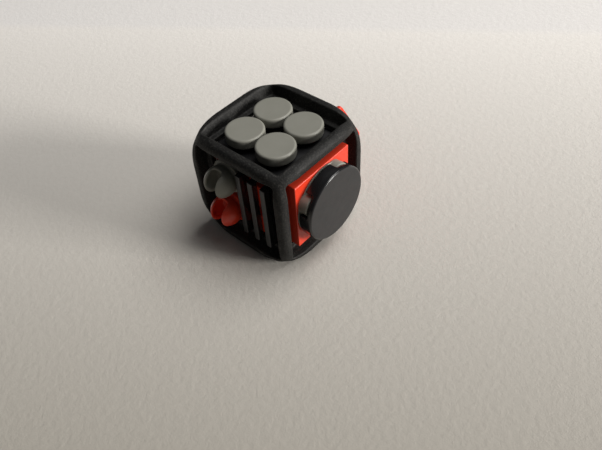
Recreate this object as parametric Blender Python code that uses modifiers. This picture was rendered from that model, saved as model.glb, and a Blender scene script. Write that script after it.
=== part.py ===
"""Fidget cube: a soft cage stretched over a studded core, with a toy on each face.

Units are metres and +Z is up.  The origin is on the surface that the cube stands on, under the
middle of the whole toy's outline.  Every face has its own empty, whose local +Z points out of
the cube, so a piece is modelled by its height above the cube's centre and by where it stands on
the face.  Face frames:

    top     +Z   four sprung push buttons
    right   +X   spinner: square base, studded turntable and round cap
    front   -Y   grille and two turning ball sockets
    rear    +Y   two-bladed rotor on a pin
    left    -X   dished thumb tile
    bottom  -Z   smooth tile
"""
import math

import bmesh
import bpy
from mathutils import Matrix, Vector

# ---- driving dimensions -------------------------------------------------------------------
PITCH = 0.008                 # spacing of the studs
GAP = 0.0003                  # clearance between touching pieces
STUD_RADIUS = 0.0024
STUD_HEIGHT = 0.0017
STUD_PITCH_HALF = PITCH / 2
TILE_HALF = 0.0078            # half width of a square two-by-two piece

FRAME_HALF = 0.01225          # the cage is 24.5 mm across its flat sides
FRAME_SPHERE = 0.0183         # sphere that rounds the cage's corners
FRAME_EDGE = 0.0012           # rounding of the cage's outer edges
WELL_HALF = 0.0102            # half width of the well in each side, at its rim
WELL_FLOOR_HALF = 0.00945     # and at its ledge
WELL_FLOOR = 0.00985          # height of the ledge in each well
WELL_CORNER = 0.0007
LIP_HALF = 0.0086             # opening in the ledge, which the face pieces pass through

CORE_HALF = 0.0086
CORE_TOP = 0.0063             # the guide plate closes the core above this height
SEAT = CORE_HALF + GAP        # height at which a face piece starts
POCKET_TOP = CORE_HALF + STUD_HEIGHT + GAP
POCKET_RADIUS = STUD_RADIUS + GAP

BUTTON_RADIUS = 0.00385
BUTTON_LOW = 0.00966
BUTTON_HIGH = 0.01186
BUTTON_EDGE = 0.00035
BUTTON_WALL = 0.0024          # radius of the hole in the cap that takes the plunger
PLUNGER_RADIUS = 0.0021
PLUNGER_TOP = 0.0109
FLANGE_RADIUS = 0.0033
FLANGE_HIGH = 0.0063
FLANGE_LOW = 0.0053
GUIDE_PIN_RADIUS = 0.0017
GUIDE_PIN_LOW = 0.0033
BORE_RADIUS = 0.0036
BORE_FLOOR = -0.0017
SPRING_WIRE = 0.0003
SPRING_RADIUS = 0.0026
SPRING_TURNS = 4.5
SPRING_POINTS = 10            # points in each turn

SPINNER_BASE_HALF = 0.0079
SPINNER_BASE_TOP = 0.0117
SPINNER_BORE = 0.0026
SPINNER_RECESS = 0.0032
SPINNER_RECESS_TOP = 0.0103
TURNTABLE_RADIUS = 0.0078
TURNTABLE_LOW = 0.0120
TURNTABLE_HIGH = 0.01235
TURNTABLE_BOSS = 0.0023
TURNTABLE_SNAP = 0.0029
TURNTABLE_SNAP_LOW = 0.0092
TURNTABLE_SNAP_HIGH = 0.0100
SPINNER_CAP_RADIUS = 0.00795
SPINNER_CAP_TOP = 0.0152
SPINNER_CAP_EDGE = 0.00035
SPINNER_NOTCH_HALF = 0.0027
SPINNER_NOTCH_INNER = 0.0028
SPINNER_ANGLE = math.radians(17)

GRILLE_LEFT = 0.0001
GRILLE_WIDTH = 0.0076
GRILLE_TOP = 0.0118
GRILLE_RIB = 0.00125
GRILLE_SKIN = 0.0009          # thickness of the ribs
GRILLE_WALL = 0.0006
GRILLE_RIBS = 3

SOCKET_BASE_RADIUS = 0.00375
SOCKET_BASE_TOP = 0.0103
SOCKET_CENTRE = 0.0120        # height of the ball that the socket would hold
SOCKET_RADIUS = 0.0033
SOCKET_CAVITY = 0.00265
SOCKET_FLOOR = 0.0106
SOCKET_SLOT_HALF = 0.0014
SOCKET_SLOT_FLOOR = 0.0122
LOW_STUD_HEIGHT = 0.0011      # the studs under the sockets are low ones

ROTOR_LOW = 0.0126
ROTOR_HIGH = 0.0152
ROTOR_LENGTH = 0.0200
ROTOR_WIDTH = 0.0076
ROTOR_CORNER = 0.0010
ROTOR_ANGLE = math.radians(134)
ROTOR_BASE_TOP = 0.0120
PIN_RADIUS = 0.0016
PIN_HEAD_RADIUS = 0.0024
PIN_HEAD_LOW = 0.0145
PIN_HEAD_HIGH = 0.0151
PIN_FOOT_RADIUS = 0.0026
PIN_FOOT_LOW = 0.0092
PIN_FOOT_HIGH = 0.0099

DISH_RADIUS = 0.0078
DISH_TOP = 0.0118
DISH_DEPTH = 0.0008
DISH_RIM = 0.0007
BOTTOM_TILE_TOP = 0.0116

ROUND = 24                    # sides of a turned piece
ROUND_SMALL = 16              # sides of a stud or of its pocket
ARC_STEPS = 6
OVERRUN = 0.001               # how far a cutter runs past the surface it opens

# The spinner cap stands out of the right side, so the middle of the outline is off the cube's.
CUBE_CENTRE = Vector(((FRAME_HALF - SPINNER_CAP_TOP) / 2, 0, FRAME_HALF))

STUD_PLACES = [(sx * STUD_PITCH_HALF, sy * STUD_PITCH_HALF) for sx in (-1, 1) for sy in (-1, 1)]
FACES = {
    "top": (0, 0, 0),
    "bottom": (180, 0, 0),
    "front": (90, 0, 0),
    "right": (90, 0, 90),
    "rear": (90, 0, 180),
    "left": (90, 0, 270),
}


# ---- scene helpers ------------------------------------------------------------------------
def clear_scene():
    for old in list(bpy.data.objects):
        bpy.data.objects.remove(old, do_unlink=True)


def new_collection(name):
    collection = bpy.data.collections.new(name)
    bpy.context.scene.collection.children.link(collection)
    return collection


def plain_material(name, colour, roughness, metallic=0.0):
    material = bpy.data.materials.new(name)
    material.use_nodes = True
    shader = material.node_tree.nodes["Principled BSDF"]
    shader.inputs["Base Color"].default_value = (*colour, 1.0)
    shader.inputs["Roughness"].default_value = roughness
    shader.inputs["Metallic"].default_value = metallic
    material.diffuse_color = (*colour, 1.0)
    return material


def add_object(name, mesh, parent, place=(0, 0), turn=0.0, material=None):
    """Put a mesh on a face, at a place on it and turned about the face's outward axis."""
    thing = bpy.data.objects.new(name, mesh)
    thing.parent = parent
    thing.location = (place[0], place[1], 0)
    thing.rotation_euler = (0, 0, turn)
    if material:
        mesh.materials.append(material)
        parts.objects.link(thing)
    else:
        thing.hide_render = True
        thing.display_type = "WIRE"
        cutters.objects.link(thing)
    return thing


def mesh_from(bm, name):
    mesh = bpy.data.meshes.new(name)
    bmesh.ops.recalc_face_normals(bm, faces=bm.faces)
    bm.to_mesh(mesh)
    bm.free()
    mesh.shade_smooth()
    mesh.set_sharp_from_angle(angle=math.radians(35))
    return mesh


def shape(thing, other, operation="DIFFERENCE"):
    """Cut a piece with another, or join the other to it."""
    boolean = thing.modifiers.new(other.name, "BOOLEAN")
    boolean.operation = operation
    boolean.solver = "EXACT"
    boolean.object = other
    return thing


# ---- meshes -------------------------------------------------------------------------------
def add_box(bm, low, high, turn=0.0):
    low, high = Vector(low), Vector(high)
    place = Matrix.Translation((low + high) / 2) @ Matrix.Diagonal((*(high - low), 1))
    return bmesh.ops.create_cube(bm, size=1, matrix=Matrix.Rotation(turn, 4, "Z") @ place)["verts"]


def add_cylinder(bm, place, radius, low, high, sides=ROUND_SMALL, frame=Matrix.Identity(4)):
    centre = Matrix.Translation((place[0], place[1], (low + high) / 2))
    bmesh.ops.create_cone(bm, cap_ends=True, segments=sides, radius1=radius, radius2=radius,
                          depth=high - low, matrix=frame @ centre)


def box_mesh(name, half_x, half_y, low, high, corner=0.0, shift=0.0):
    """A block on a face, with its upright edges rounded where corner isn't zero."""
    bm = bmesh.new()
    add_box(bm, (shift - half_x, -half_y, low), (shift + half_x, half_y, high))
    if corner:
        upright = [edge for edge in bm.edges
                   if (edge.verts[0].co.xy - edge.verts[1].co.xy).length < GAP / 100]
        bmesh.ops.bevel(bm, geom=upright, offset=corner, segments=3, profile=0.5, affect="EDGES")
    return mesh_from(bm, name)


def cylinders_mesh(name, places, radius, low, high, sides=ROUND_SMALL):
    bm = bmesh.new()
    for place in places:
        add_cylinder(bm, place, radius, low, high, sides)
    return mesh_from(bm, name)


def arc(centre, radius, start, end, steps=ARC_STEPS):
    """Points of an arc in a turned profile, as (radius, height); 90 degrees is straight up."""
    angles = [math.radians(start + (end - start) * step / steps) for step in range(steps + 1)]
    return [(max(centre[0] + radius * math.cos(angle), 0.0), centre[1] + radius * math.sin(angle))
            for angle in angles]


def turned(name, profile, parent, material=None, place=(0, 0), turn=0.0, sides=ROUND):
    """Turn a profile, listed from the top of its axis down its outer side and back to the axis."""
    mesh = bpy.data.meshes.new(name)
    points = [(radius, 0, height) for radius, height in profile]
    mesh.from_pydata(points, [(index, index + 1) for index in range(len(points) - 1)], [])
    thing = add_object(name, mesh, parent, place, turn, material)
    screw = thing.modifiers.new("turn", "SCREW")
    screw.axis = "Z"
    screw.steps = sides
    screw.render_steps = sides
    screw.use_merge_vertices = True
    screw.merge_threshold = 0.00001
    screw.use_smooth_shade = False
    return thing


# ---- the cage and the core ----------------------------------------------------------------
def well_mesh():
    """The space cut into a side of the cage: a rounded square that widens towards the rim."""
    bm = bmesh.new()
    top = FRAME_HALF + OVERRUN
    slope = (WELL_HALF - WELL_FLOOR_HALF) / (FRAME_HALF - WELL_FLOOR)
    growth = 1 + slope * (top - WELL_FLOOR) / WELL_FLOOR_HALF
    verts = add_box(bm, (-WELL_FLOOR_HALF, -WELL_FLOOR_HALF, WELL_FLOOR),
                    (WELL_FLOOR_HALF, WELL_FLOOR_HALF, top))
    upright = [edge for edge in bm.edges
               if (edge.verts[0].co.xy - edge.verts[1].co.xy).length < GAP / 100]
    rim = [vert for vert in verts if vert.co.z > FRAME_HALF]
    bmesh.ops.scale(bm, vec=(growth, growth, 1), verts=rim)
    bmesh.ops.bevel(bm, geom=upright, offset=WELL_CORNER, segments=3, profile=0.5, affect="EDGES")
    return mesh_from(bm, "well")


def bumper_frame():
    bm = bmesh.new()
    add_box(bm, [-FRAME_HALF] * 3, [FRAME_HALF] * 3)
    bmesh.ops.bevel(bm, geom=list(bm.edges), offset=FRAME_EDGE, segments=3, profile=0.5,
                    affect="EDGES")
    frame = add_object("bumper_frame", mesh_from(bm, "bumper_frame"), cube, material=rubber)

    bm = bmesh.new()
    bmesh.ops.create_uvsphere(bm, u_segments=48, v_segments=24, radius=FRAME_SPHERE)
    shape(frame, add_object("corner_sphere", mesh_from(bm, "corner_sphere"), cube), "INTERSECT")

    cavity = CORE_HALF + GAP
    bm = bmesh.new()
    add_box(bm, [-cavity] * 3, [cavity] * 3)
    shape(frame, add_object("core_space", mesh_from(bm, "core_space"), cube))
    for axis in range(3):
        reach = [LIP_HALF] * 3
        reach[axis] = FRAME_HALF + OVERRUN
        bm = bmesh.new()
        add_box(bm, [-side for side in reach], reach)
        name = "opening_" + "xyz"[axis]
        shape(frame, add_object(name, mesh_from(bm, name), cube))
    for face, empty in faces.items():
        shape(frame, add_object("well_" + face, well_mesh(), empty))


def core_housing():
    bm = bmesh.new()
    add_box(bm, [-CORE_HALF] * 3, (CORE_HALF, CORE_HALF, CORE_TOP))
    core = add_object("core_housing", mesh_from(bm, "core_housing"), cube, material=red)

    bm = bmesh.new()
    for face, empty in faces.items():
        if face == "top":
            continue
        for place in STUD_PLACES:
            low_stud = face == "front" and place[0] < 0
            height = LOW_STUD_HEIGHT if low_stud else STUD_HEIGHT
            add_cylinder(bm, place, STUD_RADIUS, CORE_HALF - OVERRUN / 2, CORE_HALF + height,
                         frame=empty.rotation_euler.to_matrix().to_4x4())
    shape(core, add_object("studs", mesh_from(bm, "studs"), cube), "UNION")
    bores = cylinders_mesh("bores", STUD_PLACES, BORE_RADIUS, BORE_FLOOR, CORE_TOP + OVERRUN,
                           ROUND)
    shape(core, add_object("spring_bores", bores, cube))


def guide_plate():
    plate = add_object("guide_plate", box_mesh("guide_plate", CORE_HALF, CORE_HALF,
                                               CORE_TOP + GAP, CORE_HALF), cube, material=black)
    holes = cylinders_mesh("holes", STUD_PLACES, PLUNGER_RADIUS + GAP + OVERRUN / 10,
                           CORE_TOP - OVERRUN, CORE_HALF + OVERRUN, ROUND)
    shape(plate, add_object("guide_holes", holes, cube))


# ---- top: four push buttons ---------------------------------------------------------------
def spring_curve(name):
    low = BORE_FLOOR + GAP + SPRING_WIRE
    high = FLANGE_LOW - GAP - SPRING_WIRE
    count = round(SPRING_TURNS * SPRING_POINTS)
    curve = bpy.data.curves.new(name, "CURVE")
    curve.dimensions = "3D"
    curve.bevel_depth = SPRING_WIRE
    curve.bevel_resolution = 2
    curve.use_fill_caps = True
    coil = curve.splines.new("POLY")
    coil.points.add(count)
    for index, point in enumerate(coil.points):
        angle = math.tau * index / SPRING_POINTS
        point.co = (SPRING_RADIUS * math.cos(angle), SPRING_RADIUS * math.sin(angle),
                    low + (high - low) * index / count, 1)
    curve.materials.append(steel)
    return curve


def push_button(number, place):
    plunger = [(0, PLUNGER_TOP), (PLUNGER_RADIUS, PLUNGER_TOP), (PLUNGER_RADIUS, FLANGE_HIGH),
               (FLANGE_RADIUS, FLANGE_HIGH), (FLANGE_RADIUS, FLANGE_LOW),
               (GUIDE_PIN_RADIUS, FLANGE_LOW), (GUIDE_PIN_RADIUS, GUIDE_PIN_LOW),
               (0, GUIDE_PIN_LOW)]
    turned(f"plunger_{number}", plunger, faces["top"], black, place)

    edge = (BUTTON_RADIUS - BUTTON_EDGE, BUTTON_HIGH - BUTTON_EDGE)
    hole_top = PLUNGER_TOP + GAP
    cap = [(0, BUTTON_HIGH), *arc(edge, BUTTON_EDGE, 90, 0, 2), (BUTTON_RADIUS, BUTTON_LOW),
           (BUTTON_WALL, BUTTON_LOW), (BUTTON_WALL, hole_top), (0, hole_top)]
    turned(f"button_cap_{number}", cap, faces["top"], grey, place)

    spring = bpy.data.objects.new(f"button_spring_{number}", spring_curve("spring"))
    spring.parent = faces["top"]
    spring.location = (*place, 0)
    parts.objects.link(spring)


# ---- right: spinner -----------------------------------------------------------------------
def stud_pockets(name, parent, top=POCKET_TOP):
    mesh = cylinders_mesh(name, STUD_PLACES, POCKET_RADIUS, SEAT - OVERRUN, top)
    return add_object(name, mesh, parent)


def spinner():
    side = faces["right"]
    base = add_object("spinner_base", box_mesh("spinner_base", SPINNER_BASE_HALF,
                                               SPINNER_BASE_HALF, SEAT, SPINNER_BASE_TOP),
                      side, material=red)
    shape(base, stud_pockets("spinner_pockets", side))
    recess = cylinders_mesh("recess", [(0, 0)], SPINNER_RECESS, SEAT - OVERRUN,
                            SPINNER_RECESS_TOP, ROUND)
    shape(base, add_object("snap_recess", recess, side))
    bore = cylinders_mesh("bore", [(0, 0)], SPINNER_BORE, SEAT - OVERRUN,
                          SPINNER_BASE_TOP + OVERRUN, ROUND)
    shape(base, add_object("spinner_bore", bore, side))

    disc = [(0, TURNTABLE_HIGH), (TURNTABLE_RADIUS, TURNTABLE_HIGH),
            (TURNTABLE_RADIUS, TURNTABLE_LOW), (TURNTABLE_BOSS, TURNTABLE_LOW),
            (TURNTABLE_BOSS, TURNTABLE_SNAP_HIGH), (TURNTABLE_SNAP, TURNTABLE_SNAP_HIGH),
            (TURNTABLE_SNAP, TURNTABLE_SNAP_LOW), (0, TURNTABLE_SNAP_LOW)]
    table = turned("spinner_turntable", disc, side, grey, turn=SPINNER_ANGLE, sides=2 * ROUND)
    studs = cylinders_mesh("studs", STUD_PLACES, STUD_RADIUS, TURNTABLE_HIGH - GAP,
                           TURNTABLE_HIGH + STUD_HEIGHT)
    shape(table, add_object("turntable_studs", studs, side, turn=SPINNER_ANGLE), "UNION")

    edge = (SPINNER_CAP_RADIUS - SPINNER_CAP_EDGE, SPINNER_CAP_TOP - SPINNER_CAP_EDGE)
    low = TURNTABLE_HIGH + GAP
    profile = [(0, SPINNER_CAP_TOP), *arc(edge, SPINNER_CAP_EDGE, 90, 0, 2),
               (SPINNER_CAP_RADIUS, low), (0, low)]
    cap = turned("spinner_cap", profile, side, black, turn=SPINNER_ANGLE, sides=2 * ROUND)
    bm = bmesh.new()
    for quarter in range(4):
        add_box(bm, (SPINNER_NOTCH_INNER, -SPINNER_NOTCH_HALF, low - OVERRUN),
                (SPINNER_CAP_RADIUS + OVERRUN, SPINNER_NOTCH_HALF,
                 TURNTABLE_HIGH + STUD_HEIGHT + GAP), turn=math.radians(45 + 90 * quarter))
    shape(cap, add_object("cap_notches", mesh_from(bm, "cap_notches"), side,
                          turn=SPINNER_ANGLE))


# ---- front: grille and ball sockets -------------------------------------------------------
def grille():
    side = faces["front"]
    middle = GRILLE_LEFT + GRILLE_WIDTH / 2
    body = add_object("grille", box_mesh("grille", GRILLE_WIDTH / 2, TILE_HALF, SEAT,
                                         GRILLE_TOP, shift=middle), side, material=black)
    hollow_top = GRILLE_TOP - GRILLE_SKIN
    hollow = box_mesh("hollow", GRILLE_WIDTH / 2 - GRILLE_WALL, TILE_HALF - GRILLE_WALL,
                      SEAT - OVERRUN, hollow_top, shift=middle)
    shape(body, add_object("grille_hollow", hollow, side))
    slots = GRILLE_RIBS - 1
    slot = (GRILLE_WIDTH - GRILLE_RIBS * GRILLE_RIB) / slots
    bm = bmesh.new()
    for index in range(slots):
        start = GRILLE_LEFT + GRILLE_RIB + index * (slot + GRILLE_RIB)
        add_box(bm, (start, -TILE_HALF - OVERRUN, hollow_top - OVERRUN / 2),
                (start + slot, TILE_HALF + OVERRUN, GRILLE_TOP + OVERRUN))
    shape(body, add_object("grille_slots", mesh_from(bm, "grille_slots"), side))


def ball_socket(name, place, material):
    side = faces["front"]
    foot = math.degrees(math.asin((SOCKET_BASE_TOP - SOCKET_CENTRE) / SOCKET_RADIUS))
    pocket_top = CORE_HALF + LOW_STUD_HEIGHT + GAP
    outside = arc((0, SOCKET_CENTRE), SOCKET_RADIUS, 90, foot)
    profile = [*outside, (SOCKET_BASE_RADIUS, SOCKET_BASE_TOP), (SOCKET_BASE_RADIUS, SEAT),
               (POCKET_RADIUS, SEAT), (POCKET_RADIUS, pocket_top), (0, pocket_top)]
    socket = turned(name, profile, side, material, place)

    floor = math.degrees(math.asin((SOCKET_FLOOR - SOCKET_CENTRE) / SOCKET_CAVITY))
    cavity = [*arc((0, SOCKET_CENTRE), SOCKET_CAVITY, 90, floor), (0, SOCKET_FLOOR)]
    shape(socket, turned(name + "_cavity", cavity, side, place=place))
    slot = box_mesh("slot", SOCKET_SLOT_HALF, SOCKET_BASE_RADIUS + OVERRUN,
                    SOCKET_SLOT_FLOOR, SOCKET_CENTRE + SOCKET_RADIUS + OVERRUN)
    shape(socket, add_object(name + "_slot", slot, side, place))


# ---- rear: rotor --------------------------------------------------------------------------
def rotor():
    side = faces["rear"]
    base = add_object("rotor_base", box_mesh("rotor_base", TILE_HALF, TILE_HALF, SEAT,
                                             ROTOR_BASE_TOP), side, material=black)
    shape(base, stud_pockets("rotor_pockets", side))
    recess = cylinders_mesh("recess", [(0, 0)], PIN_FOOT_RADIUS + GAP, SEAT - OVERRUN,
                            PIN_FOOT_HIGH + GAP, ROUND)
    shape(base, add_object("pin_recess", recess, side))
    bore = cylinders_mesh("bore", [(0, 0)], PIN_RADIUS + GAP, SEAT - OVERRUN,
                          ROTOR_BASE_TOP + OVERRUN, ROUND)
    shape(base, add_object("pin_bore", bore, side))

    pin = [(0, PIN_HEAD_HIGH), (PIN_HEAD_RADIUS, PIN_HEAD_HIGH), (PIN_HEAD_RADIUS, PIN_HEAD_LOW),
           (PIN_RADIUS, PIN_HEAD_LOW), (PIN_RADIUS, PIN_FOOT_HIGH),
           (PIN_FOOT_RADIUS, PIN_FOOT_HIGH), (PIN_FOOT_RADIUS, PIN_FOOT_LOW), (0, PIN_FOOT_LOW)]
    turned("rotor_pin", pin, side, grey)

    blades = box_mesh("rotor", ROTOR_LENGTH / 2, ROTOR_WIDTH / 2, ROTOR_LOW, ROTOR_HIGH,
                      ROTOR_CORNER)
    blades = add_object("rotor", blades, side, turn=ROTOR_ANGLE, material=red)
    hub = [(0, ROTOR_HIGH + OVERRUN), (PIN_HEAD_RADIUS + GAP, ROTOR_HIGH + OVERRUN),
           (PIN_HEAD_RADIUS + GAP, PIN_HEAD_LOW - GAP), (PIN_RADIUS + GAP, PIN_HEAD_LOW - GAP),
           (PIN_RADIUS + GAP, ROTOR_LOW - OVERRUN), (0, ROTOR_LOW - OVERRUN)]
    shape(blades, turned("rotor_hole", hub, side, turn=ROTOR_ANGLE))


# ---- left and bottom ----------------------------------------------------------------------
def thumb_dish():
    side = faces["left"]
    inner = DISH_RADIUS - DISH_RIM
    bowl = (inner ** 2 + DISH_DEPTH ** 2) / (2 * DISH_DEPTH)
    rim_angle = math.degrees(math.asin(inner / bowl))
    centre = (0, DISH_TOP - DISH_DEPTH + bowl)
    profile = [*arc(centre, bowl, -90, -90 + rim_angle), (DISH_RADIUS, DISH_TOP),
               (DISH_RADIUS, SEAT), (0, SEAT)]
    dish = turned("thumb_dish", profile, side, grey)
    shape(dish, stud_pockets("dish_pockets", side))


def bottom_tile():
    side = faces["bottom"]
    tile = add_object("bottom_tile", box_mesh("bottom_tile", TILE_HALF, TILE_HALF, SEAT,
                                              BOTTOM_TILE_TOP), side, material=black)
    shape(tile, stud_pockets("tile_pockets", side))


# ---- assembly -----------------------------------------------------------------------------
clear_scene()
parts = new_collection("fidget_cube")
cutters = new_collection("cutters")

rubber = plain_material("black_rubber", (0.028, 0.028, 0.028), 0.75)
black = plain_material("black_plastic", (0.030, 0.030, 0.034), 0.40)
grey = plain_material("grey_plastic", (0.34, 0.34, 0.31), 0.45)
red = plain_material("red_plastic", (0.80, 0.045, 0.02), 0.28)
steel = plain_material("spring_steel", (0.62, 0.62, 0.64), 0.30, 1.0)

cube = bpy.data.objects.new("cube", None)
cube.location = CUBE_CENTRE
parts.objects.link(cube)
faces = {}
for face_name, angles in FACES.items():
    empty = bpy.data.objects.new("face_" + face_name, None)
    empty.rotation_euler = [math.radians(angle) for angle in angles]
    empty.parent = cube
    parts.objects.link(empty)
    faces[face_name] = empty

bumper_frame()
core_housing()
guide_plate()
for button, stud_place in enumerate(STUD_PLACES, start=1):
    push_button(button, stud_place)
spinner()
grille()
ball_socket("socket_grey", (-STUD_PITCH_HALF, STUD_PITCH_HALF), grey)
ball_socket("socket_red", (-STUD_PITCH_HALF, -STUD_PITCH_HALF), red)
rotor()
thumb_dish()
bottom_tile()
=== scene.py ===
"""Looks of the fidget cube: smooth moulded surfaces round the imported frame, materials and light.

Each face of the cube has its own frame, as in the design: local +Z points out of the cube, and
heights are measured from the cube's centre.  A moulded piece is described by a field that is
negative inside it, in metres, and a fine mesh is wrapped round that field.
"""

import itertools
import math

import bpy
import numpy as np
from mathutils import Euler, Matrix, Vector


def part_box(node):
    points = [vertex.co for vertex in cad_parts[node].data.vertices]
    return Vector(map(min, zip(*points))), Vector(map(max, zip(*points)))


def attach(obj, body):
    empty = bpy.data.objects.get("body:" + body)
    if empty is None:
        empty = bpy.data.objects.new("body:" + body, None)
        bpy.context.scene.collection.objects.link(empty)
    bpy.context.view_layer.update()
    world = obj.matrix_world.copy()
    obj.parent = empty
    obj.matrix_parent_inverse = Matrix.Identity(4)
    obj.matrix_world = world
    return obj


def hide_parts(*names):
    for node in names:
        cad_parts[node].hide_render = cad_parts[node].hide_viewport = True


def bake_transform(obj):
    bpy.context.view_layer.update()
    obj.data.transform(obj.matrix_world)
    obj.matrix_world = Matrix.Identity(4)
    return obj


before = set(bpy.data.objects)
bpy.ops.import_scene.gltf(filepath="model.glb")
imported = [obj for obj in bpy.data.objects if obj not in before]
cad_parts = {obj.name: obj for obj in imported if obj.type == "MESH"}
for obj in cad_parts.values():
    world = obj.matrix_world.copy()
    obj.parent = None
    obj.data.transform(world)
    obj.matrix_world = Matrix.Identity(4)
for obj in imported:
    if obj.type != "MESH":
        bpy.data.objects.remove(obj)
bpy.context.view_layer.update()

# ---- sizes, in metres ---------------------------------------------------------------------
CELL = 0.00013                # mesh size on most pieces
CAGE_CELL = 0.0002
SETTLE_STEPS = 4              # steps that bring the mesh onto its field

CAGE_SPHERE = 0.0185
CAGE_EDGE = 0.00115
CAGE_CORNER = 0.0013
WELL_HALF = 0.01025           # at the rim
WELL_DRAFT = 0.31             # how much a well narrows on its way down
WELL_FLOOR = 0.00985
WELL_CORNER = 0.0008
RIM_EDGE = 0.00022
LIP_HALF = 0.0084
LIP_EDGE = 0.00018
CORE_SPACE = 0.0089

STUD_RADIUS = 0.0024
STUD_HEIGHT = 0.0017
STUD_EDGE = 0.00016
HALF_PITCH = 0.004
MOULD_EDGE = 0.00016          # rounding on the hard plastic pieces
CLOSER = 0.00022              # how far seated pieces are drawn into their clearance

CAP_EDGE = 0.00042
CAP_GROWTH = 0.00008
CAP_HOLLOW = 0.64             # share of a cap's radius
CAP_TURN = 70                 # degrees between caps, so that their marks differ
DISC_EDGE = 0.00034
RING_THICKNESS = 0.0002
RING_INSET = 0.00018
NOTCH_HALF = 0.0023
NOTCH_INNER = 0.0030
NOTCH_HEIGHT = 0.0020
SPINNER_ANGLE = math.radians(17)

GRILLE_RIB = 0.00125
GRILLE_WALL = 0.0006
GRILLE_SKIN = 0.0014          # thickness of the ribs

SOCKET_RADIUS = 0.0033
SOCKET_CAVITY = 0.0027
SOCKET_SLOT_HALF = 0.0014     # half the gap between the petals
SOCKET_CENTRE = 0.0120
SOCKET_SLOT_FLOOR = 0.0122
SOCKET_FLOOR = 0.0106
SOCKET_BASE_HIGH = 0.0103
SOCKET_LIP = 0.00022

ROTOR_ANGLE = math.radians(134)
ROTOR_CORNER = 0.0010
ROTOR_LENGTH = 0.0200
ROTOR_WIDTH = 0.0076
PIN_HEAD = 0.0024             # radius
PIN_SHAFT = 0.0016            # radius
PIN_HEAD_HEIGHT = 0.0006
PIN_RECESS = 0.0009           # depth of the blade's recess under the pin's top
DISH_DEPTH = 0.0009
DISH_RIM = 0.0008

CAMERA_OFFSET = (0.06652, -0.06369, 0.08310)
CAMERA_ANGLES = (42.608, 3.075, 40.640)
CAMERA_LENS = 35.88
CAMERA_SENSOR = 36.0

ROOM_LIGHT = 0.066
ROOM_COLOUR = (0.85, 0.86, 0.88, 1)
FLOOR_SIZE = 4
FLOOR_DROP = 0.00002          # keeps the floor just clear of the cage
PAINTED_SHADE_ANGLE = 34           # direction in which the painted shade on the floor deepens, in degrees
FOLD = 0.0781                 # past this line the floor is coloured as if bent up: the upright paper's shade is painted on the flat floor
# name, bearing and height in degrees, distance, size, watts, colour
LIGHTS = (
    ("window", 24, 12, 1.5, (0.36, 0.50), 28.0, (1.0, 0.975, 0.94)),
    ("ceiling", 62, 62, 1.1, (0.9, 0.7), 9.7, (1.0, 0.985, 0.965)),
)

STUD_PLACES = [(sx * HALF_PITCH, sy * HALF_PITCH) for sx in (-1, 1) for sy in (-1, 1)]
FACE_ANGLES = {
    "top": (0, 0, 0),
    "bottom": (180, 0, 0),
    "front": (90, 0, 0),
    "right": (90, 0, 90),
    "rear": (90, 0, 180),
    "left": (90, 0, 270),
}


def middle(node):
    low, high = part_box(node)
    return (Vector(low) + Vector(high)) / 2


def half_size(node):
    low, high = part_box(node)
    return (Vector(high) - Vector(low)) / 2


cube_centre = middle("bumper_frame")
cage_half = half_size("bumper_frame").x
faces = {}
for face, angles in FACE_ANGLES.items():
    turn = Euler([math.radians(angle) for angle in angles]).to_matrix().to_4x4()
    faces[face] = Matrix.Translation(cube_centre) @ turn


def span(node, face):
    """A CAD node's lowest and highest corners in a face's frame."""
    to_face = faces[face].inverted()
    corners = [to_face @ Vector(corner) for corner in itertools.product(*zip(*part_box(node)))]
    return [[pick(corner[axis] for corner in corners) for axis in range(3)] for pick in (min, max)]


# ---- fields -------------------------------------------------------------------------------
def both(a, b, edge=0.0):
    """The space shared by two solids, with the edge between them rounded."""
    sharp = np.maximum(a, b)
    if not edge:
        return sharp
    round_edge = np.hypot(np.maximum(a + edge, 0), np.maximum(b + edge, 0))
    return np.minimum(sharp, -edge) + round_edge


def joined(a, b, fillet=0.0):
    return -both(-a, -b, fillet)


def cut(a, b, edge=0.0):
    return both(a, -b, edge)


def block(p, low, high, edge=0.0):
    past = [np.abs(p[i] - (low[i] + high[i]) / 2) - (high[i] - low[i]) / 2 + edge
            for i in range(3)]
    outside = np.sqrt(sum(np.maximum(side, 0) ** 2 for side in past))
    return outside + np.minimum(np.maximum.reduce(past), 0) - edge


def square_prism(p, half, corner):
    past = [np.abs(side) - half + corner for side in p[:2]]
    outside = np.hypot(np.maximum(past[0], 0), np.maximum(past[1], 0))
    return outside + np.minimum(np.maximum(*past), 0) - corner


def post(p, radius, low, high, edge=0.0, place=(0, 0)):
    across = np.hypot(p[0] - place[0], p[1] - place[1]) - radius
    along = np.abs(p[2] - (low + high) / 2) - (high - low) / 2
    return both(across, along, edge)


def ball(p, height, radius):
    return np.sqrt(p[0] ** 2 + p[1] ** 2 + (p[2] - height) ** 2) - radius


def turned_about(p, angle):
    c, s = math.cos(angle), math.sin(angle)
    return [c * p[0] + s * p[1], c * p[1] - s * p[0], p[2]]


def with_studs(solid, p, low, places=STUD_PLACES):
    for place in places:
        stud = post(p, STUD_RADIUS, low - STUD_HEIGHT, low + STUD_HEIGHT, STUD_EDGE, place)
        solid = joined(solid, stud, STUD_EDGE)
    return solid


def without_studs(solid, p, low):
    """Cut the pockets that the core's studs fill."""
    for place in STUD_PLACES:
        solid = cut(solid, post(p, STUD_RADIUS + CLOSER, low - STUD_HEIGHT, low + STUD_HEIGHT,
                                place=place))
    return solid


# ---- from field to mesh -------------------------------------------------------------------
def slopes(field, spots, step):
    """The field's value and gradient at some points."""
    value = field(list(spots.T))
    slope = np.empty_like(spots)
    for axis in range(3):
        ahead, behind = spots.copy(), spots.copy()
        ahead[:, axis] += step
        behind[:, axis] -= step
        slope[:, axis] = (field(list(ahead.T)) - field(list(behind.T))) / (2 * step)
    return value, slope


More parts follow.
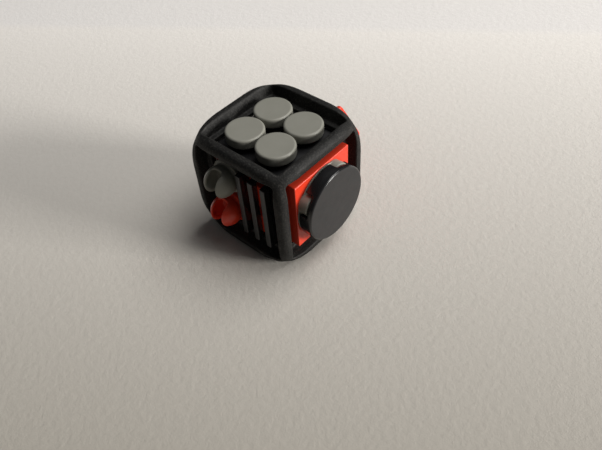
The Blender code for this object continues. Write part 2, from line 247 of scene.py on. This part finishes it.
def wrap(name, field, low, high, cell=CELL):
    """Wrap a mesh round the space where a field is negative, one point to a crossed cell."""
    low, high = np.array(low) - 2 * cell, np.array(high) + 2 * cell
    sides = [np.arange(a, b + cell, cell) for a, b in zip(low, high)]
    value = field(np.meshgrid(*sides, indexing="ij"))
    inside = value < 0
    size = np.array(value.shape)
    corners = list(itertools.product((0, 1), repeat=3))
    filled = sum(inside[tuple(slice(c, n - 1 + c) for c, n in zip(corner, size))].astype(int)
                 for corner in corners)
    crossed = (filled > 0) & (filled < len(corners))
    number = np.full(crossed.shape, -1)
    number[crossed] = np.arange(crossed.sum())
    cells = np.argwhere(crossed)

    total, hits = np.zeros(cells.shape), np.zeros(len(cells))
    for axis in range(3):
        along = np.eye(3, dtype=int)[axis]
        for corner in corners:
            if corner[axis]:
                continue
            start = cells + corner
            a, b = value[tuple(start.T)], value[tuple((start + along).T)]
            hit = (a < 0) != (b < 0)
            share = np.where(hit, a / np.where(hit, a - b, 1), 0)
            total += np.where(hit[:, None], start + share[:, None] * along, 0)
            hits += hit
    spots = low + cell * total / hits[:, None]

    quads = []
    for axis in range(3):
        along, u, v = np.roll(np.eye(3, dtype=int), -axis, axis=0)
        ends = [inside.take(range(start, size[axis] - 1 + start), axis) for start in (0, 1)]
        edges = np.argwhere(ends[0] != ends[1])
        rising = ends[0][tuple(edges.T)]
        ring = [number[tuple((edges - away).T)] for away in (u + v, v, 0 * u, u)]
        quads.append(np.where(rising[:, None], np.stack(ring, 1), np.stack(ring[::-1], 1)))
    quads = np.concatenate(quads)

    for _ in range(SETTLE_STEPS):
        height, slope = slopes(field, spots, cell / 10)
        move = -slope * (height / np.maximum((slope ** 2).sum(1), 0.25))[:, None]
        spots += np.clip(move, -cell / 2, cell / 2)

    mesh = bpy.data.meshes.new(name)
    mesh.from_pydata(spots.tolist(), [], quads.tolist())
    mesh.validate()
    mesh.shade_smooth()
    return mesh


def add_piece(name, mesh, place, body, node, material):
    """Show a mesh in place of a CAD node, riding on the same body."""
    piece = bpy.data.objects.new(name, mesh)
    bpy.context.scene.collection.objects.link(piece)
    piece.matrix_world = place
    mesh.materials.clear()
    mesh.materials.append(material)
    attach(piece, body)
    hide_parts(node)
    return piece


# ---- materials ----------------------------------------------------------------------------
class Shader:
    """A Principled material and short ways to add the nodes that vary it."""

    def __init__(self, name, colour, roughness, **values):
        self.material = bpy.data.materials.new(name)
        self.material.use_nodes = True
        self.tree = self.material.node_tree
        self.surface = self.tree.nodes["Principled BSDF"]
        self.surface.inputs["Base Color"].default_value = (*colour, 1)
        self.surface.inputs["Roughness"].default_value = roughness
        for socket, value in values.items():
            self.surface.inputs[socket.replace("_", " ")].default_value = value
        self.coordinates = self.tree.nodes.new("ShaderNodeTexCoord")
        self.bump = None

    def noise(self, scale, detail=3.0, roughness=0.5, stretch=(1, 1, 1), turn=(0, 0, 0)):
        mapping = self.tree.nodes.new("ShaderNodeMapping")
        mapping.inputs["Scale"].default_value = stretch
        mapping.inputs["Rotation"].default_value = [math.radians(angle) for angle in turn]
        self.tree.links.new(self.coordinates.outputs["Object"], mapping.inputs["Vector"])
        noise = self.tree.nodes.new("ShaderNodeTexNoise")
        noise.inputs["Scale"].default_value = scale
        noise.inputs["Detail"].default_value = detail
        noise.inputs["Roughness"].default_value = roughness
        self.tree.links.new(mapping.outputs["Vector"], noise.inputs["Vector"])
        return noise.outputs["Fac"]

    def edges(self, low, high):
        """1 on edges that stand out, 0 elsewhere, from how pointed the mesh is."""
        geometry = self.tree.nodes.new("ShaderNodeNewGeometry")
        return self.fit(geometry.outputs["Pointiness"], low, high, 0, 1)

    def fit(self, value, low, high, to_low, to_high):
        fit = self.tree.nodes.new("ShaderNodeMapRange")
        fit.inputs["From Min"].default_value = low
        fit.inputs["From Max"].default_value = high
        fit.inputs["To Min"].default_value = to_low
        fit.inputs["To Max"].default_value = to_high
        self.tree.links.new(value, fit.inputs["Value"])
        return fit.outputs["Result"]

    def flat_tops(self):
        """1 on surfaces that face along the piece's own Z, 0 on its sides."""
        parts = self.tree.nodes.new("ShaderNodeSeparateXYZ")
        self.tree.links.new(self.coordinates.outputs["Normal"], parts.inputs["Vector"])
        size = self.tree.nodes.new("ShaderNodeMath")
        size.operation = "ABSOLUTE"
        self.tree.links.new(parts.outputs["Z"], size.inputs[0])
        return self.fit(size.outputs["Value"], 0.90, 0.99, 0, 1)

    def multiply(self, a, b):
        product = self.tree.nodes.new("ShaderNodeMath")
        product.operation = "MULTIPLY"
        self.tree.links.new(a, product.inputs[0])
        self.tree.links.new(b, product.inputs[1])
        return product.outputs["Value"]

    def blend(self, factor, a, b):
        """A colour between a and b; a may be another blend's output."""
        mix = self.tree.nodes.new("ShaderNodeMix")
        mix.data_type = "RGBA"
        self.tree.links.new(factor, mix.inputs[0])
        if isinstance(a, tuple):
            mix.inputs[6].default_value = (*a, 1)
        else:
            self.tree.links.new(a, mix.inputs[6])
        mix.inputs[7].default_value = (*b, 1)
        return mix.outputs[2]

    def drive(self, socket, value):
        self.tree.links.new(value, self.surface.inputs[socket])

    def rough(self, height, distance, strength=1.0):
        """Add a layer of relief; the layers stack."""
        bump = self.tree.nodes.new("ShaderNodeBump")
        bump.inputs["Distance"].default_value = distance
        bump.inputs["Strength"].default_value = strength
        self.tree.links.new(height, bump.inputs["Height"])
        if self.bump:
            self.tree.links.new(self.bump, bump.inputs["Normal"])
        self.bump = bump.outputs["Normal"]
        self.tree.links.new(self.bump, self.surface.inputs["Normal"])


def rubber_material():
    """Matt near-black rubber with a fine moulded grain, paler where hands have rubbed it."""
    shader = Shader("black_rubber", (0.008, 0.008, 0.008), 0.6, Specular_IOR_Level=0.22)
    patches = shader.fit(shader.noise(260, 4), 0.35, 0.65, 0, 1)
    colour = shader.blend(patches, (0.0060, 0.0058, 0.0055), (0.0095, 0.0092, 0.0086))
    rubbed = shader.fit(shader.noise(900, 5), 0.35, 0.7, 0, 1)
    worn = shader.multiply(shader.edges(0.51, 0.60), rubbed)
    colour = shader.blend(worn, colour, (0.050, 0.048, 0.043))
    grain = shader.fit(shader.noise(3200, 2), 0.50, 0.72, 0, 1)
    colour = shader.blend(grain, colour, (0.033, 0.032, 0.029))
    shader.drive("Base Color", colour)
    shader.drive("Roughness", shader.fit(shader.noise(700, 3), 0.3, 0.7, 0.50, 0.66))
    shader.rough(shader.noise(3600, 2, 0.6), 0.00009, 1.0)
    shader.rough(shader.noise(1500, 2), 0.00003, 0.4)
    return shader.material


def plastic_material(name, colour, shade, roughness, top_roughness=None, **values):
    """Moulded brick plastic: nearly even colour, faint sink marks and a few scratches."""
    shader = Shader(name, colour, roughness, **values)
    patches = shader.fit(shader.noise(320, 3), 0.35, 0.65, 0, 1)
    shader.drive("Base Color", shader.blend(patches, colour, shade))
    rubbed = shader.fit(shader.noise(420, 5, 0.65), 0.3, 0.75, roughness - 0.03, roughness + 0.05)
    if top_roughness:
        tops = shader.fit(shader.flat_tops(), 0, 1, 1, top_roughness / roughness)
        rubbed = shader.multiply(rubbed, tops)
    shader.drive("Roughness", rubbed)
    shader.rough(shader.noise(170, 1), 0.00008, 0.2)
    shader.rough(shader.noise(4200, 2), 0.000006, 0.4)
    for turn in (20, 75, 140):
        scratch = shader.noise(700, 2, stretch=(0.06, 5, 0.6), turn=(turn, turn / 2, turn))
        shader.rough(shader.fit(scratch, 0.70, 0.74, 0, -1), 0.000004, 0.5)
    return shader.material


def spring_material():
    shader = Shader("spring_steel", (0.62, 0.62, 0.64), 0.3, Metallic=1.0)
    drawn = shader.noise(2600, 3, stretch=(1, 1, 8))
    shader.drive("Roughness", shader.fit(drawn, 0.3, 0.7, 0.22, 0.42))
    shader.rough(drawn, 0.00001, 0.5)
    return shader.material


def floor_material():
    """Warm white paper with painted shade, coloured darker towards the near right side of the room.
    """
    shader = Shader("pale_paper", (0.74, 0.72, 0.68), 0.9, Specular_IOR_Level=0.1)
    turned = shader.tree.nodes.new("ShaderNodeMapping")
    turned.inputs["Rotation"].default_value[2] = math.radians(-PAINTED_SHADE_ANGLE)
    shader.tree.links.new(shader.coordinates.outputs["Object"], turned.inputs["Vector"])
    parts = shader.tree.nodes.new("ShaderNodeSeparateXYZ")
    shader.tree.links.new(turned.outputs["Vector"], parts.inputs["Vector"])
    # painted shade: the paper's colour darkens along this ramp, standing in for uneven light in the
    # room
    painted_shade_ramp = shader.fit(parts.outputs["Y"], -0.10, 0.10, 0, 1)
    colour = shader.blend(painted_shade_ramp, (0.27, 0.246, 0.200), (0.95, 0.915, 0.870))
    # painted shade: past the fold the flat floor takes the darker tone that upright paper has in
    # this light
    painted_wall_shade = shader.fit(parts.outputs["Y"], FOLD - 0.001, FOLD + 0.003, 0, 1)
    colour = shader.blend(painted_wall_shade, colour, (0.84, 0.815, 0.790))
    fibres = shader.fit(shader.noise(700, 5, 0.7), 0.30, 0.70, 0, 0.07)
    shader.drive("Base Color", shader.blend(fibres, colour, (0.20, 0.185, 0.155)))
    shader.rough(shader.noise(700, 5, 0.7), 0.0004, 0.3)
    return shader.material


rubber = rubber_material()
black = plastic_material("black_plastic", (0.0105, 0.0105, 0.0115), (0.013, 0.013, 0.014), 0.20,
                         0.42)
grey = plastic_material("grey_plastic", (0.225, 0.222, 0.190), (0.240, 0.237, 0.205), 0.36, 0.46,
                        Specular_IOR_Level=0.4)
red = plastic_material("red_plastic", (0.72, 0.048, 0.018), (0.68, 0.044, 0.017), 0.30)
steel = spring_material()


# ---- the cage -----------------------------------------------------------------------------
def cage():
    def field(p):
        low, high = [-cage_half] * 3, [cage_half] * 3
        body = block(p, low, high, CAGE_EDGE)
        body = both(body, ball(p, 0, CAGE_SPHERE), CAGE_CORNER)
        wells = []
        for axis in range(3):
            flat = [p[(axis + 1) % 3], p[(axis + 2) % 3]]
            height = np.abs(p[axis])
            half = WELL_HALF - np.maximum(cage_half - height, 0) * WELL_DRAFT
            wells.append(both(square_prism(flat, half, WELL_CORNER), WELL_FLOOR - height, LIP_EDGE))
        body = cut(body, np.minimum.reduce(wells), RIM_EDGE)
        for axis in range(3):
            flat = [p[(axis + 1) % 3], p[(axis + 2) % 3]]
            body = cut(body, square_prism(flat, LIP_HALF, LIP_EDGE), LIP_EDGE)
        return cut(body, block(p, [-CORE_SPACE] * 3, [CORE_SPACE] * 3))

    half = [cage_half] * 3
    mesh = wrap("cage", field, [-side for side in half], half, CAGE_CELL)
    add_piece("cage", mesh, Matrix.Translation(cube_centre), "root", "bumper_frame", rubber)


def core():
    """The core as a solid block with studs; the cavity and bores of the design aren't drawn."""
    low, high = span("core_housing", "top")
    half = high[0] - STUD_HEIGHT

    def field(p):
        solid = block(p, [-half] * 3, (half, half, high[2]), MOULD_EDGE)
        for sign, flat in ((-1, (0, 2, 1)), (1, (0, 2, 1)), (-1, (1, 2, 0)), (1, (1, 2, 0)),
                           (-1, (0, 1, 2))):
            side = [p[flat[0]], p[flat[1]], sign * p[flat[2]]]
            solid = with_studs(solid, side, half)
        return solid

    mesh = wrap("core_block", field, low, high)
    add_piece("core_block", mesh, faces["top"], "root", "core_housing", red)


# ---- top ----------------------------------------------------------------------------------
def button_caps():
    low, high = span("button_cap_1", "top")
    radius = (high[0] - low[0]) / 2 + CAP_GROWTH

    def field(p):
        solid = post(p, radius, low[2], high[2], CAP_EDGE)
        return cut(solid, post(p, radius * CAP_HOLLOW, low[2] - CELL * 4,
                               low[2] + CAP_EDGE * 2))

    mesh = wrap("button_cap", field, (-radius, -radius, low[2]), (radius, radius, high[2]))
    for index in range(1, 5):
        place = middle(f"button_cap_{index}") - cube_centre
        spot = faces["top"] @ Matrix.Translation((place.x, place.y, 0))
        spot = spot @ Matrix.Rotation(math.radians(CAP_TURN * index), 4, "Z")
        add_piece(f"cap_{index}", mesh, spot, f"button_{index}", f"button_cap_{index}", grey)


# ---- right: spinner -----------------------------------------------------------------------
def spinner():
    low, high = span("spinner_base", "right")
    table_low, table_high = span("spinner_turntable", "right")
    cap_low, cap_high = span("spinner_cap", "right")
    base_top = high[2] + CLOSER / 2
    disc_low = base_top + CELL / 2
    disc_high = disc_low + RING_THICKNESS
    table_radius = disc_radius = (cap_high[0] - cap_low[0]) / 2

    def base_field(p):
        solid = block(p, (low[0], low[1], low[2] - CLOSER), (high[0], high[1], base_top),
                      MOULD_EDGE)
        return without_studs(solid, p, low[2] - CLOSER)

    mesh = wrap("spinner_base", base_field, low, high)
    add_piece("red_base", mesh, faces["right"], "root", "spinner_base", red)

    def table_field(p):
        q = turned_about(p, SPINNER_ANGLE)
        solid = post(q, table_radius - RING_INSET, disc_low, disc_high)
        return with_studs(solid, q, disc_high)

    mesh = wrap("turntable", table_field, (-table_radius, -table_radius, disc_low),
                (table_radius, table_radius, table_high[2]))
    add_piece("turntable", mesh, faces["right"], "spinner", "spinner_turntable", grey)

    def cap_field(p):
        q = turned_about(p, SPINNER_ANGLE + math.radians(45))
        solid = post(q, disc_radius, disc_high + CELL / 4, cap_high[2], DISC_EDGE)
        notch_top = disc_high + NOTCH_HEIGHT
        for arm, side in ((q[0], q[1]), (q[1], q[0])):
            notch = both(both(NOTCH_INNER - np.abs(arm), np.abs(side) - NOTCH_HALF),
                         q[2] - notch_top, DISC_EDGE)
            solid = cut(solid, notch, MOULD_EDGE)
        return solid

    mesh = wrap("spinner_cap", cap_field, cap_low, cap_high)
    add_piece("finger_disc", mesh, faces["right"], "spinner", "spinner_cap", black)


# ---- front: grille and sockets ------------------------------------------------------------
def grille():
    low, high = span("grille", "front")

    def field(p):
        solid = block(p, (low[0], low[1], low[2] - CLOSER), high, MOULD_EDGE)
        skin = high[2] - GRILLE_SKIN
        solid = cut(solid, block(p, (low[0] + GRILLE_WALL, low[1] + GRILLE_WALL, low[2] - 1),
                                 (high[0] - GRILLE_WALL, high[1] - GRILLE_WALL, skin)))
        gap = (high[0] - low[0] - 3 * GRILLE_RIB) / 2
        for index in range(2):
            start = low[0] + GRILLE_RIB + index * (gap + GRILLE_RIB)
            slot = block(p, (start, -1, skin - GRILLE_SKIN / 2), (start + gap, 1, 1))
            solid = cut(solid, slot, MOULD_EDGE)
        return solid

    mesh = wrap("grille", field, low, high)
    add_piece("ribbed_grille", mesh, faces["front"], "root", "grille", black)


def sockets():
    low, high = span("socket_grey", "front")
    radius = (high[0] - low[0]) / 2

    def field(p):
        solid = post(p, radius, low[2] - CLOSER, SOCKET_BASE_HIGH, SOCKET_LIP)
        solid = joined(solid, ball(p, SOCKET_CENTRE, SOCKET_RADIUS), SOCKET_LIP * 2)
        slot = both(np.abs(p[0]) - SOCKET_SLOT_HALF, SOCKET_SLOT_FLOOR - p[2],
                    SOCKET_SLOT_HALF / 2)
        cup = both(ball(p, SOCKET_CENTRE, SOCKET_CAVITY), SOCKET_FLOOR - p[2], SOCKET_LIP)
        hollow = joined(cup, slot, SOCKET_LIP)
        solid = cut(solid, hollow, SOCKET_LIP)
        return cut(solid, post(p, STUD_RADIUS + CLOSER, 0, low[2] + STUD_HEIGHT / 2))

    reach = (radius, radius, SOCKET_CENTRE + SOCKET_RADIUS)
    mesh = wrap("socket", field, (-radius, -radius, low[2] - CLOSER), reach, CELL * 0.8)
    for name, body, material, slot in (("socket_grey", "grey_socket", grey, "grey_plastic"),
                                       ("socket_red", "red_socket", red, "red_plastic")):
        place = faces["front"].inverted() @ middle(name)
        spot = faces["front"] @ Matrix.Translation((place.x, place.y, 0))
        add_piece(name + "_shell", mesh.copy(), spot, body, name, material)


# ---- rear: rotor --------------------------------------------------------------------------
def rotor():
    low, high = span("rotor_base", "rear")
    pin_low, pin_high = span("rotor_pin", "rear")
    blade_low, blade_high = span("rotor", "rear")

    def base_field(p):
        solid = block(p, (low[0], low[1], low[2] - CLOSER), high, MOULD_EDGE)
        solid = without_studs(solid, p, low[2] - CLOSER)
        return cut(solid, post(p, PIN_SHAFT + CLOSER, 0, 1))

    add_piece("rotor_seat", wrap("rotor_seat", base_field, low, high), faces["rear"], "root",
              "rotor_base", black)

    def pin_field(p):
        dome = ball(p, pin_high[2] - PIN_HEAD * 2, PIN_HEAD * 2)
        head = post(p, PIN_HEAD, pin_high[2] - PIN_HEAD_HEIGHT, pin_high[2])
        shaft = post(p, PIN_SHAFT, pin_low[2], pin_high[2] - PIN_HEAD_HEIGHT / 2)
        return joined(both(head, dome, MOULD_EDGE), shaft, MOULD_EDGE)

    add_piece("rivet", wrap("rivet", pin_field, pin_low, pin_high), faces["rear"], "root",
              "rotor_pin", grey)

    def blade_field(p):
        q = turned_about(p, ROTOR_ANGLE)
        past_middle = np.abs(q[0]) - (ROTOR_LENGTH - ROTOR_WIDTH) / 2
        flat = [np.maximum(past_middle, 0) * np.sign(q[0]), q[1]]
        outline = square_prism(flat, ROTOR_WIDTH / 2, ROTOR_CORNER)
        along = np.abs(p[2] - (blade_low[2] + blade_high[2]) / 2)
        solid = both(outline, along - (blade_high[2] - blade_low[2]) / 2, MOULD_EDGE * 2)
        recess = post(p, PIN_HEAD + CLOSER, pin_high[2] - PIN_RECESS, 1)
        return cut(cut(solid, recess, MOULD_EDGE), post(p, PIN_SHAFT + CLOSER, 0, 1))

    add_piece("blades", wrap("blades", blade_field, blade_low, blade_high), faces["rear"],
              "rotor", "rotor", red)


# ---- left and bottom ----------------------------------------------------------------------
def thumb_dish():
    low, high = span("thumb_dish", "left")
    radius = (high[0] - low[0]) / 2
    inner = radius - DISH_RIM
    bowl = (inner ** 2 + DISH_DEPTH ** 2) / (2 * DISH_DEPTH)

    def field(p):
        solid = post(p, radius, low[2] - CLOSER, high[2], DISC_EDGE)
        solid = without_studs(solid, p, low[2] - CLOSER)
        return cut(solid, ball(p, high[2] - DISH_DEPTH + bowl, bowl), DISC_EDGE)

    add_piece("dished_tile", wrap("dished_tile", field, low, high), faces["left"], "root",
              "thumb_dish", grey)


def bottom_tile():
    low, high = span("bottom_tile", "bottom")

    def field(p):
        solid = block(p, (low[0], low[1], low[2] - CLOSER), high, MOULD_EDGE)
        return without_studs(solid, p, low[2] - CLOSER)

    add_piece("smooth_tile", wrap("smooth_tile", field, low, high), faces["bottom"], "root",
              "bottom_tile", black)


def springs():
    """The design's springs again, each copied where it sits between its seat and its plunger."""
    for index in range(1, 5):
        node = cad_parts[f"button_spring_{index}"]
        coil = bpy.data.objects.new(f"coil_{index}", node.data.copy())
        bpy.context.scene.collection.objects.link(coil)
        coil.matrix_world = node.matrix_world
        coil.data.materials.clear()
        coil.data.materials.append(steel)
        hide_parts(node.name)
        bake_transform(coil)


def carried_over():
    """New materials on the CAD pieces that stay."""
    for name in ("guide_plate", "plunger_1", "plunger_2", "plunger_3", "plunger_4"):
        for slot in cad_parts[name].material_slots:
            slot.material = black


# ---- stage --------------------------------------------------------------------------------
def area_light(name, place, aim, size, power, colour):
    data = bpy.data.lights.new(name, "AREA")
    data.shape = "RECTANGLE"
    data.size, data.size_y = size
    data.energy = power
    data.color = colour
    light = bpy.data.objects.new(name, data)
    bpy.context.scene.collection.objects.link(light)
    light.location = place
    light.rotation_euler = (Vector(aim) - Vector(place)).to_track_quat("-Z", "Y").to_euler()


def stage():
    bpy.ops.mesh.primitive_plane_add(size=FLOOR_SIZE, location=(0, 0, -FLOOR_DROP))
    floor = bpy.context.object
    floor.name = "paper_floor"
    floor.data.materials.append(floor_material())

    world = bpy.data.worlds.new("room")
    world.use_nodes = True
    background = world.node_tree.nodes["Background"]
    background.inputs["Color"].default_value = ROOM_COLOUR
    background.inputs["Strength"].default_value = ROOM_LIGHT
    bpy.context.scene.world = world
    bpy.context.scene.view_settings.view_transform = "Standard"

    for name, bearing, height, distance, size, power, colour in LIGHTS:
        bearing, height = math.radians(bearing), math.radians(height)
        away = Vector((math.cos(bearing) * math.cos(height), math.sin(bearing) * math.cos(height),
                       math.sin(height)))
        area_light(name, cube_centre + away * distance, cube_centre, size, power, colour)


def camera():
    data = bpy.data.cameras.new("camera")
    data.lens = CAMERA_LENS
    data.sensor_width = CAMERA_SENSOR
    data.clip_start = 0.001
    view = bpy.data.objects.new("camera", data)
    bpy.context.scene.collection.objects.link(view)
    view.location = cube_centre + Vector(CAMERA_OFFSET)
    view.rotation_euler = [math.radians(angle) for angle in CAMERA_ANGLES]
    bpy.context.scene.camera = view


camera()
cage()
core()
button_caps()
spinner()
grille()
sockets()
rotor()
thumb_dish()
bottom_tile()
springs()
carried_over()
stage()
